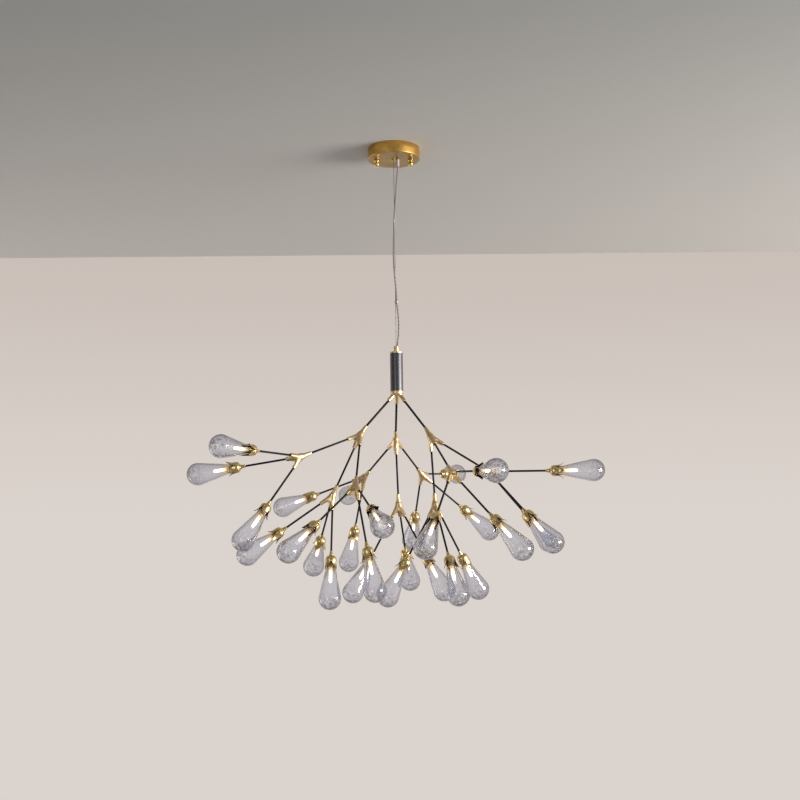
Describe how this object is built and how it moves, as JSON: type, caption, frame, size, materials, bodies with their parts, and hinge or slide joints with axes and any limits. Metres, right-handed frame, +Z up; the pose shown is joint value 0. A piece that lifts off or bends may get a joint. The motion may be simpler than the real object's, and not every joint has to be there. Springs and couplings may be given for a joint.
{
  "type": "chandelier",
  "caption": "Hanging chandelier of forked black rods and cast brass joints, each rod ending in a brass calyx that holds a lighted smoked glass drop, on a cable under a round brass canopy.",
  "frame": {"origin": "centre of the canopy on the ceiling plane", "axes": "+Z up into the ceiling, +X to the right and -Y towards the viewer in the picture; one main rod reaches back towards +Y"},
  "size_m": [0.9056, 0.8465, 1.0488],
  "materials": {
    "bracket_steel": "zinc plated",
    "canopy_brass": "brushed",
    "satin_brass": "satin cast",
    "calyx_brass": "polished, dark edges",
    "satin_black": "satin",
    "terminal_plastic": "matte",
    "cable_steel": "stranded",
    "cord_skin": "clear",
    "holder_cream": "glazed",
    "lamp_glow": "frosted",
    "smoked_glass": "smoked"
  },
  "bodies": {
    "ceiling_part": {"ceiling_bracket": "bracket_steel", "bracket_studs": "bracket_steel", "canopy_cup": "canopy_brass", "cable_fitting": "satin_brass", "terminal_block": "terminal_plastic"},
    "left_nut": {"left_cap_nut": "satin_brass"},
    "right_nut": {"right_cap_nut": "satin_brass"},
    "ball": {"cable_ball": "bracket_steel"},
    "suspension": {"suspension_cable": "cable_steel", "power_cord": "cord_skin", "cord_ties": "cord_skin", "cord_sleeve": "cord_skin"},
    "gripper": {"cable_gripper": "satin_brass", "gripper_nut": "bracket_steel"},
    "fixture": {"stem_cap": "satin_brass", "stem_tube": "satin_black", "stem_connector": "terminal_plastic", "hub_casting": "satin_brass", "left_main_rod": "satin_black", "rear_main_rod": "satin_black", "right_main_rod": "satin_black", "left_main_joint": "satin_brass", "rear_main_joint": "satin_brass", "right_main_joint": "satin_brass", "left_branch_rods": "satin_black", "rear_branch_rods": "satin_black", "right_branch_rods": "satin_black", "left_branch_joints": "satin_brass", "rear_branch_joints": "satin_brass", "right_branch_joints": "satin_brass", "left_lamp_rods": "satin_black", "rear_lamp_rods": "satin_black", "right_lamp_rods": "satin_black", "left_calyxes_a": "calyx_brass", "left_calyxes_b": "calyx_brass", "left_calyxes_c": "calyx_brass", "rear_calyxes_a": "calyx_brass", "rear_calyxes_b": "calyx_brass", "rear_calyxes_c": "calyx_brass", "right_calyxes_a": "calyx_brass", "right_calyxes_b": "calyx_brass", "right_calyxes_c": "calyx_brass", "left_lamp_holders": "holder_cream", "rear_lamp_holders": "holder_cream", "right_lamp_holders": "holder_cream", "left_led_lamps": "lamp_glow", "rear_led_lamps": "lamp_glow", "right_led_lamps": "lamp_glow", "left_shades_a": "smoked_glass", "left_shades_b": "smoked_glass", "left_shades_c": "smoked_glass", "rear_shades_a": "smoked_glass", "rear_shades_b": "smoked_glass", "rear_shades_c": "smoked_glass", "right_shades_a": "smoked_glass", "right_shades_b": "smoked_glass", "right_shades_c": "smoked_glass"}
  },
  "joints": [
    {"name": "left_nut_turn", "type": "hinge", "parent": "ceiling_part", "child": "left_nut", "pos_m": [-0.039, 0, -0.034], "axis": [0, 0, 1], "range_deg": [-180, 180]},
    {"name": "right_nut_turn", "type": "hinge", "parent": "ceiling_part", "child": "right_nut", "pos_m": [0.039, 0, -0.034], "axis": [0, 0, 1], "range_deg": [-180, 180]},
    {"name": "swing_sideways", "type": "hinge", "parent": "ceiling_part", "child": "ball", "pos_m": [0, 0, -0.023], "axis": [0, 1, 0], "range_deg": [-6, 6]},
    {"name": "swing_front_back", "type": "hinge", "parent": "ball", "child": "suspension", "pos_m": [0, 0, -0.023], "axis": [1, 0, 0], "range_deg": [-6, 6]},
    {"name": "height", "type": "slide", "parent": "suspension", "child": "gripper", "axis": [0, 0, 1], "range_m": [0, 0.12], "deforming": ["suspension_cable", "power_cord", "cord_ties"]},
    {"name": "stem_turn", "type": "hinge", "parent": "gripper", "child": "fixture", "pos_m": [0, 0, -0.48], "axis": [0, 0, 1], "range_deg": [-60, 60]}
  ]
}
